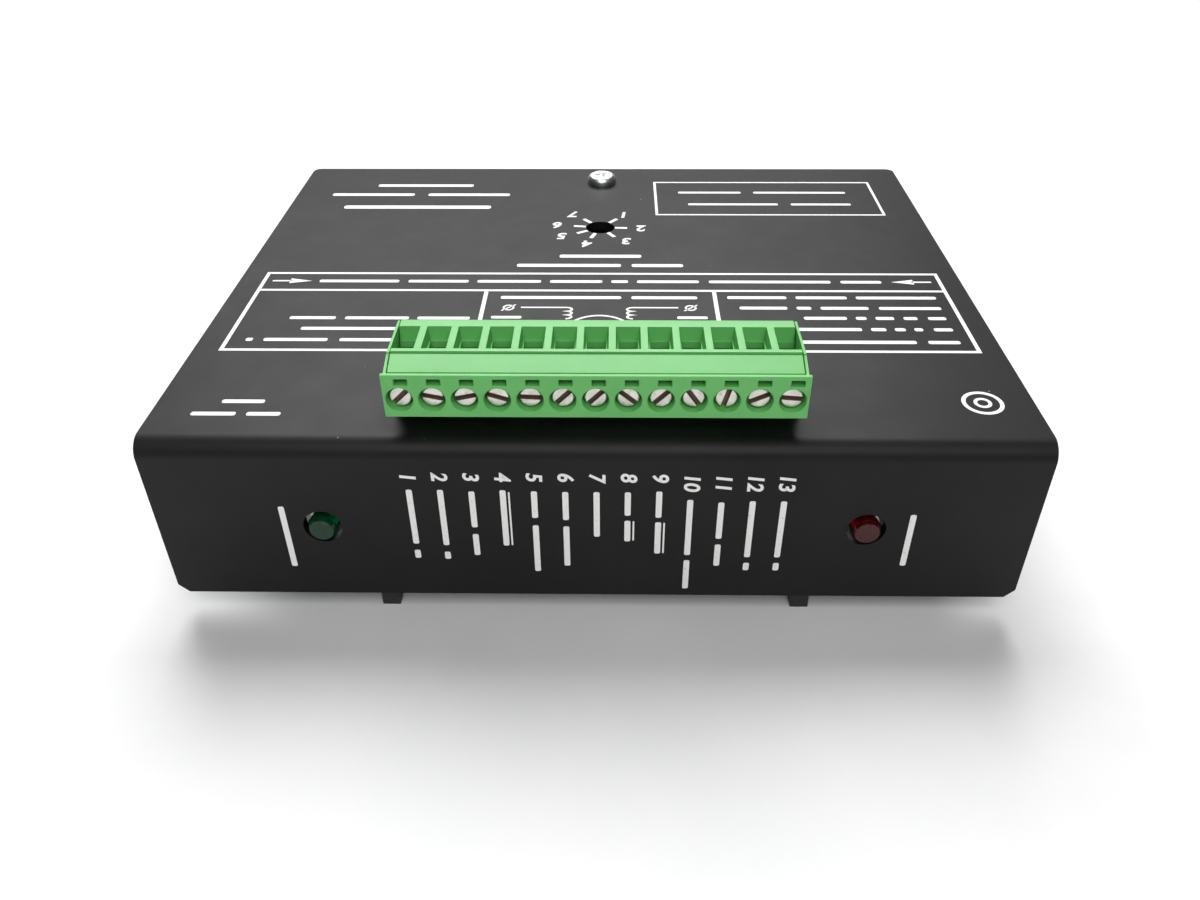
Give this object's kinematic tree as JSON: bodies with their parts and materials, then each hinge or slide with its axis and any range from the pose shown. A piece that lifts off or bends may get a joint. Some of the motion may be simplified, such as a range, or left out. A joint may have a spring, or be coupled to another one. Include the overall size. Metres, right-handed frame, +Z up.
{
  "type": "stepper driver module",
  "caption": "Low drive box: an L-shaped black sheet cover over a circuit board on a channel heat sink, with a pluggable screw terminal block, indicator lamps and a trimmer dial.",
  "frame": {"origin": "middle of the footprint, on the plane the heat sink legs stand on", "axes": "+X to the right along the terminal row seen from the front, +Y from the front flange to the back, +Z up"},
  "size_m": [0.146, 0.1206, 0.0494],
  "materials": {
    "cover_black": "satin, fine grain",
    "channel_black": "satin black anodised",
    "board_green": "solder mask over laminate",
    "terminal_green": "satin moulded",
    "tinned_pins": "tinned",
    "zinc_screw": "bright zinc",
    "bare_aluminium": "bare machined",
    "bare_steel": "zinc plated",
    "lamp_green": "translucent tinted",
    "lamp_red": "translucent tinted",
    "moulded_black": "moulded epoxy",
    "tinned_tab": "tin plated",
    "pad_grey": "filled silicone sheet",
    "capacitor_sleeve": "shrink sleeve",
    "ceramic_white": "fired ceramic",
    "resistor_tan": "lacquered",
    "trimmer_dark": "moulded",
    "nickel_screw": "nickel plated",
    "cage_nickel": "nickel plated brass"
  },
  "bodies": {
    "base": {"board_screws": "zinc_screw", "board_standoffs": "bare_aluminium", "bracket_screws": "zinc_screw", "circuit_board": "board_green", "clinch_nuts": "zinc_screw", "clinch_studs": "zinc_screw", "cover": "cover_black", "cover_screw": "zinc_screw", "cover_standoff": "bare_aluminium", "diodes": "moulded_black", "driver_ics": "moulded_black", "electrolytic_capacitors": "capacitor_sleeve", "fault_led": "lamp_red", "fault_led_leads": "tinned_pins", "front_bracket": "bare_steel", "header_pins": "tinned_pins", "heatsink_channel": "channel_black", "insulating_pads": "pad_grey", "power_led": "lamp_green", "power_led_leads": "tinned_pins", "power_resistors": "ceramic_white", "power_transistors": "moulded_black", "small_resistors": "resistor_tan", "standoff_screws": "zinc_screw", "terminal_header": "terminal_green", "transistor_leads": "tinned_pins", "transistor_screws": "zinc_screw", "transistor_tabs": "tinned_tab", "trimmer_body": "trimmer_dark"},
    "plug": {"plug_housing": "terminal_green", "plug_wire_guide": "terminal_green", "plug_contacts": "tinned_pins"},
    "dial_rotor": {"trimmer_rotor": "trimmer_dark"},
    "screw_01": {"clamp_screw_01": "nickel_screw"},
    "cage_01": {"clamp_cage_01": "cage_nickel"},
    "screw_02": {"clamp_screw_02": "nickel_screw"},
    "cage_02": {"clamp_cage_02": "cage_nickel"},
    "screw_03": {"clamp_screw_03": "nickel_screw"},
    "cage_03": {"clamp_cage_03": "cage_nickel"},
    "screw_04": {"clamp_screw_04": "nickel_screw"},
    "cage_04": {"clamp_cage_04": "cage_nickel"},
    "screw_05": {"clamp_screw_05": "nickel_screw"},
    "cage_05": {"clamp_cage_05": "cage_nickel"},
    "screw_06": {"clamp_screw_06": "nickel_screw"},
    "cage_06": {"clamp_cage_06": "cage_nickel"},
    "screw_07": {"clamp_screw_07": "nickel_screw"},
    "cage_07": {"clamp_cage_07": "cage_nickel"},
    "screw_08": {"clamp_screw_08": "nickel_screw"},
    "cage_08": {"clamp_cage_08": "cage_nickel"},
    "screw_09": {"clamp_screw_09": "nickel_screw"},
    "cage_09": {"clamp_cage_09": "cage_nickel"},
    "screw_10": {"clamp_screw_10": "nickel_screw"},
    "cage_10": {"clamp_cage_10": "cage_nickel"},
    "screw_11": {"clamp_screw_11": "nickel_screw"},
    "cage_11": {"clamp_cage_11": "cage_nickel"},
    "screw_12": {"clamp_screw_12": "nickel_screw"},
    "cage_12": {"clamp_cage_12": "cage_nickel"},
    "screw_13": {"clamp_screw_13": "nickel_screw"},
    "cage_13": {"clamp_cage_13": "cage_nickel"}
  },
  "joints": [
    {"name": "plug_lift", "type": "slide", "parent": "base", "child": "plug", "axis": [0, 0, 1], "range_m": [0, 0.015]},
    {"name": "dial_turn", "type": "hinge", "parent": "base", "child": "dial_rotor", "pos_m": [0, 0.02407, 0.0318], "axis": [0, 0, -1], "range_deg": [0, 275]},
    {"name": "screw_01_turn", "type": "hinge", "parent": "plug", "child": "screw_01", "pos_m": [-0.03003, -0.05412, 0.04335], "axis": [0, 1, 0], "range_deg": [0, 1080]},
    {"name": "cage_01_slide", "type": "slide", "parent": "plug", "child": "cage_01", "axis": [0, -1, 0], "range_m": [0, 0.0015]},
    {"name": "screw_02_turn", "type": "hinge", "parent": "plug", "child": "screw_02", "pos_m": [-0.02495, -0.05412, 0.04335], "axis": [0, 1, 0], "range_deg": [0, 1080]},
    {"name": "cage_02_slide", "type": "slide", "parent": "plug", "child": "cage_02", "axis": [0, -1, 0], "range_m": [0, 0.0015]},
    {"name": "screw_03_turn", "type": "hinge", "parent": "plug", "child": "screw_03", "pos_m": [-0.01987, -0.05412, 0.04335], "axis": [0, 1, 0], "range_deg": [0, 1080]},
    {"name": "cage_03_slide", "type": "slide", "parent": "plug", "child": "cage_03", "axis": [0, -1, 0], "range_m": [0, 0.0015]},
    {"name": "screw_04_turn", "type": "hinge", "parent": "plug", "child": "screw_04", "pos_m": [-0.01479, -0.05412, 0.04335], "axis": [0, 1, 0], "range_deg": [0, 1080]},
    {"name": "cage_04_slide", "type": "slide", "parent": "plug", "child": "cage_04", "axis": [0, -1, 0], "range_m": [0, 0.0015]},
    {"name": "screw_05_turn", "type": "hinge", "parent": "plug", "child": "screw_05", "pos_m": [-0.00971, -0.05412, 0.04335], "axis": [0, 1, 0], "range_deg": [0, 1080]},
    {"name": "cage_05_slide", "type": "slide", "parent": "plug", "child": "cage_05", "axis": [0, -1, 0], "range_m": [0, 0.0015]},
    {"name": "screw_06_turn", "type": "hinge", "parent": "plug", "child": "screw_06", "pos_m": [-0.00463, -0.05412, 0.04335], "axis": [0, 1, 0], "range_deg": [0, 1080]},
    {"name": "cage_06_slide", "type": "slide", "parent": "plug", "child": "cage_06", "axis": [0, -1, 0], "range_m": [0, 0.0015]},
    {"name": "screw_07_turn", "type": "hinge", "parent": "plug", "child": "screw_07", "pos_m": [0.00045, -0.05412, 0.04335], "axis": [0, 1, 0], "range_deg": [0, 1080]},
    {"name": "cage_07_slide", "type": "slide", "parent": "plug", "child": "cage_07", "axis": [0, -1, 0], "range_m": [0, 0.0015]},
    {"name": "screw_08_turn", "type": "hinge", "parent": "plug", "child": "screw_08", "pos_m": [0.00553, -0.05412, 0.04335], "axis": [0, 1, 0], "range_deg": [0, 1080]},
    {"name": "cage_08_slide", "type": "slide", "parent": "plug", "child": "cage_08", "axis": [0, -1, 0], "range_m": [0, 0.0015]},
    {"name": "screw_09_turn", "type": "hinge", "parent": "plug", "child": "screw_09", "pos_m": [0.01061, -0.05412, 0.04335], "axis": [0, 1, 0], "range_deg": [0, 1080]},
    {"name": "cage_09_slide", "type": "slide", "parent": "plug", "child": "cage_09", "axis": [0, -1, 0], "range_m": [0, 0.0015]},
    {"name": "screw_10_turn", "type": "hinge", "parent": "plug", "child": "screw_10", "pos_m": [0.01569, -0.05412, 0.04335], "axis": [0, 1, 0], "range_deg": [0, 1080]},
    {"name": "cage_10_slide", "type": "slide", "parent": "plug", "child": "cage_10", "axis": [0, -1, 0], "range_m": [0, 0.0015]},
    {"name": "screw_11_turn", "type": "hinge", "parent": "plug", "child": "screw_11", "pos_m": [0.02077, -0.05412, 0.04335], "axis": [0, 1, 0], "range_deg": [0, 1080]},
    {"name": "cage_11_slide", "type": "slide", "parent": "plug", "child": "cage_11", "axis": [0, -1, 0], "range_m": [0, 0.0015]},
    {"name": "screw_12_turn", "type": "hinge", "parent": "plug", "child": "screw_12", "pos_m": [0.02585, -0.05412, 0.04335], "axis": [0, 1, 0], "range_deg": [0, 1080]},
    {"name": "cage_12_slide", "type": "slide", "parent": "plug", "child": "cage_12", "axis": [0, -1, 0], "range_m": [0, 0.0015]},
    {"name": "screw_13_turn", "type": "hinge", "parent": "plug", "child": "screw_13", "pos_m": [0.03093, -0.05412, 0.04335], "axis": [0, 1, 0], "range_deg": [0, 1080]},
    {"name": "cage_13_slide", "type": "slide", "parent": "plug", "child": "cage_13", "axis": [0, -1, 0], "range_m": [0, 0.0015]}
  ],
  "couplings": [
    {"joint": "screw_01_turn", "follows": "cage_01_slide", "rad_per_m": 12566},
    {"joint": "screw_02_turn", "follows": "cage_02_slide", "rad_per_m": 12566},
    {"joint": "screw_03_turn", "follows": "cage_03_slide", "rad_per_m": 12566},
    {"joint": "screw_04_turn", "follows": "cage_04_slide", "rad_per_m": 12566},
    {"joint": "screw_05_turn", "follows": "cage_05_slide", "rad_per_m": 12566},
    {"joint": "screw_06_turn", "follows": "cage_06_slide", "rad_per_m": 12566},
    {"joint": "screw_07_turn", "follows": "cage_07_slide", "rad_per_m": 12566},
    {"joint": "screw_08_turn", "follows": "cage_08_slide", "rad_per_m": 12566},
    {"joint": "screw_09_turn", "follows": "cage_09_slide", "rad_per_m": 12566},
    {"joint": "screw_10_turn", "follows": "cage_10_slide", "rad_per_m": 12566},
    {"joint": "screw_11_turn", "follows": "cage_11_slide", "rad_per_m": 12566},
    {"joint": "screw_12_turn", "follows": "cage_12_slide", "rad_per_m": 12566},
    {"joint": "screw_13_turn", "follows": "cage_13_slide", "rad_per_m": 12566}
  ]
}
